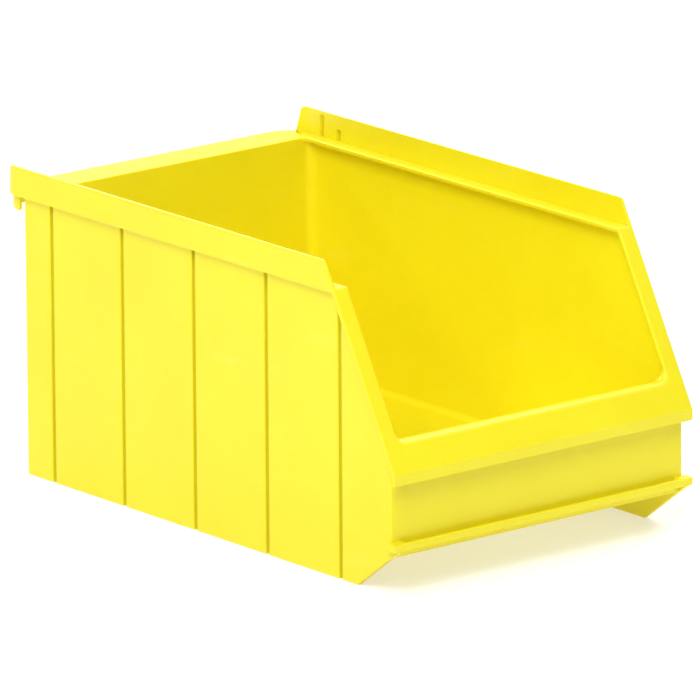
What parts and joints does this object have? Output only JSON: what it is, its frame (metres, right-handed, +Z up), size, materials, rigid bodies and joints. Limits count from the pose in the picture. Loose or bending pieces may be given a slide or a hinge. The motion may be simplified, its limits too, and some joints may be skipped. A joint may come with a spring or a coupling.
{
  "type": "stackable storage bin",
  "caption": "Yellow plastic open-fronted storage bin with side stacking rims, a sloping framed mouth, a label holder, runners and a rear hanging lip.",
  "frame": {"origin": "on the ground plane, under the middle of the bin's outline", "axes": "+Z up; the open mouth and the label holder face -Y and the rear hanging lip is at +Y; +X is to the right of someone who faces the mouth from the front"},
  "size_m": [0.146, 0.24, 0.122],
  "materials": {
    "yellow_plastic": "satin moulded polypropylene with a fine grain"
  },
  "bodies": {
    "root": {"floor_panel": "yellow_plastic", "rear_wall": "yellow_plastic", "front_label_panel": "yellow_plastic", "front_sill": "yellow_plastic", "label_top_lip": "yellow_plastic", "label_bottom_ledge": "yellow_plastic", "rear_hanging_flange": "yellow_plastic", "rear_hook_lip": "yellow_plastic", "left_side_wall": "yellow_plastic", "right_side_wall": "yellow_plastic", "left_runner": "yellow_plastic", "right_runner": "yellow_plastic", "left_stacking_rim": "yellow_plastic", "right_stacking_rim": "yellow_plastic", "left_stacking_ledge": "yellow_plastic", "right_stacking_ledge": "yellow_plastic", "left_mouth_flange": "yellow_plastic", "right_mouth_flange": "yellow_plastic", "left_hook_corner": "yellow_plastic", "right_hook_corner": "yellow_plastic"}
  },
  "joints": []
}
